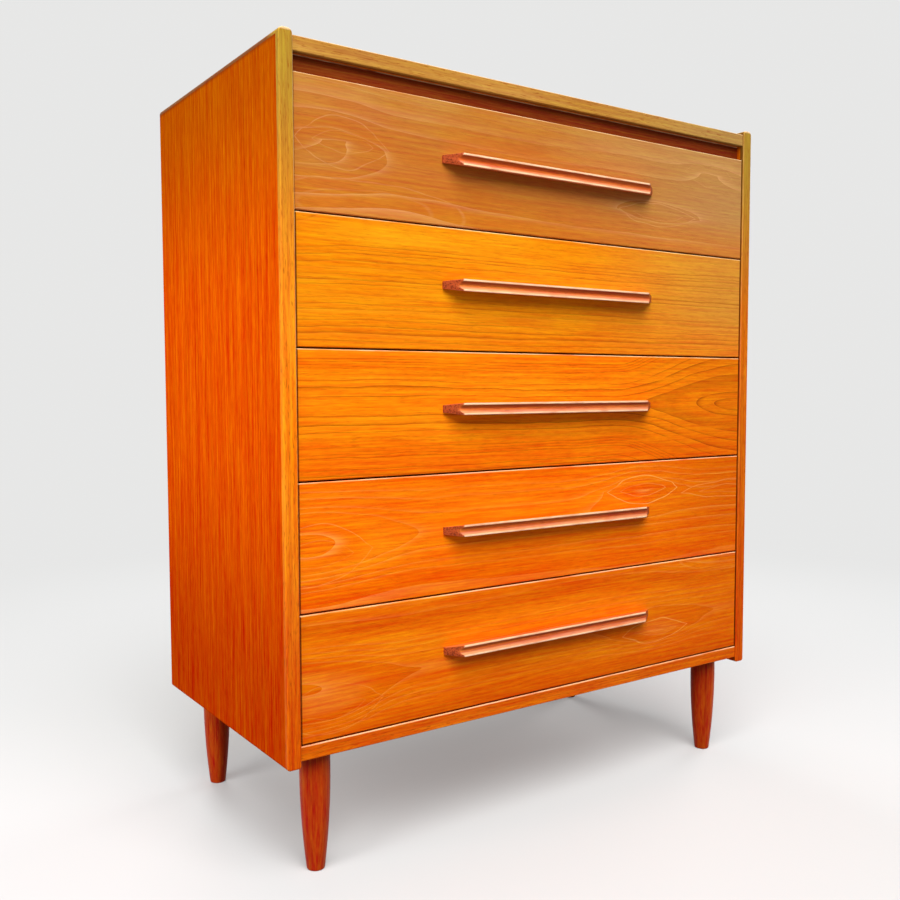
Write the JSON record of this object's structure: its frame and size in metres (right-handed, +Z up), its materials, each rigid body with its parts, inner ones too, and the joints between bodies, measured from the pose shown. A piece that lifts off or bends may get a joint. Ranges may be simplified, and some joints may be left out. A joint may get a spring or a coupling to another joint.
{
  "type": "tall chest of drawers",
  "caption": "Tall wooden chest of drawers on short turned legs, with full-height rounded side panels, flush inset fronts, long bar handles and a shadow gap under the top.",
  "frame": {"origin": "on the floor, at the centre of the bounding box seen from above, handles included", "axes": "+Z up, the drawers face -Y and open along -Y, +X to the right of someone facing the drawers"},
  "size_m": [0.914, 0.475, 1.119],
  "materials": {
    "teak_veneer": "satin oiled teak veneer",
    "teak_solid": "satin oiled solid teak",
    "handle_wood": "satin, reddish-brown solid teak",
    "leg_wood": "satin, stained red-brown beech",
    "drawer_wood": "plain sanded hardwood",
    "plywood": "plain plywood",
    "dowel_wood": "fluted beech",
    "steel": "zinc plated",
    "brass": "plain"
  },
  "bodies": {
    "case": {"side_panel_left": "teak_veneer", "side_panel_right": "teak_veneer", "top_panel": "teak_veneer", "bottom_panel": "teak_veneer", "side_lipping_left": "teak_solid", "side_lipping_right": "teak_solid", "top_lipping": "teak_solid", "bottom_lipping": "teak_solid", "recessed_top_rail": "teak_solid", "back_panel": "plywood", "runner_screws": "steel", "back_panel_screws": "steel", "case_dowels": "dowel_wood", "leg_hanger_bolts": "steel", "leg_threaded_inserts": "brass", "runners_drawer_1": "drawer_wood", "runners_drawer_2": "drawer_wood", "runners_drawer_3": "drawer_wood", "runners_drawer_4": "drawer_wood", "runners_drawer_5": "drawer_wood", "leg_front_left": "leg_wood", "leg_front_right": "leg_wood", "leg_back_left": "leg_wood", "leg_back_right": "leg_wood"},
    "drawer_1": {"drawer_1_front": "teak_veneer", "drawer_1_handle": "handle_wood", "drawer_1_side_left": "drawer_wood", "drawer_1_side_right": "drawer_wood", "drawer_1_back": "drawer_wood", "drawer_1_bottom": "plywood", "drawer_1_handle_screws": "steel"},
    "drawer_2": {"drawer_2_front": "teak_veneer", "drawer_2_handle": "handle_wood", "drawer_2_side_left": "drawer_wood", "drawer_2_side_right": "drawer_wood", "drawer_2_back": "drawer_wood", "drawer_2_bottom": "plywood", "drawer_2_handle_screws": "steel"},
    "drawer_3": {"drawer_3_front": "teak_veneer", "drawer_3_handle": "handle_wood", "drawer_3_side_left": "drawer_wood", "drawer_3_side_right": "drawer_wood", "drawer_3_back": "drawer_wood", "drawer_3_bottom": "plywood", "drawer_3_handle_screws": "steel"},
    "drawer_4": {"drawer_4_front": "teak_veneer", "drawer_4_handle": "handle_wood", "drawer_4_side_left": "drawer_wood", "drawer_4_side_right": "drawer_wood", "drawer_4_back": "drawer_wood", "drawer_4_bottom": "plywood", "drawer_4_handle_screws": "steel"},
    "drawer_5": {"drawer_5_front": "teak_veneer", "drawer_5_handle": "handle_wood", "drawer_5_side_left": "drawer_wood", "drawer_5_side_right": "drawer_wood", "drawer_5_back": "drawer_wood", "drawer_5_bottom": "plywood", "drawer_5_handle_screws": "steel"}
  },
  "joints": [
    {"name": "drawer_1_slide", "type": "slide", "parent": "case", "child": "drawer_1", "axis": [0, -1, 0], "range_m": [0, 0.32]},
    {"name": "drawer_2_slide", "type": "slide", "parent": "case", "child": "drawer_2", "axis": [0, -1, 0], "range_m": [0, 0.32]},
    {"name": "drawer_3_slide", "type": "slide", "parent": "case", "child": "drawer_3", "axis": [0, -1, 0], "range_m": [0, 0.32]},
    {"name": "drawer_4_slide", "type": "slide", "parent": "case", "child": "drawer_4", "axis": [0, -1, 0], "range_m": [0, 0.32]},
    {"name": "drawer_5_slide", "type": "slide", "parent": "case", "child": "drawer_5", "axis": [0, -1, 0], "range_m": [0, 0.32]}
  ]
}
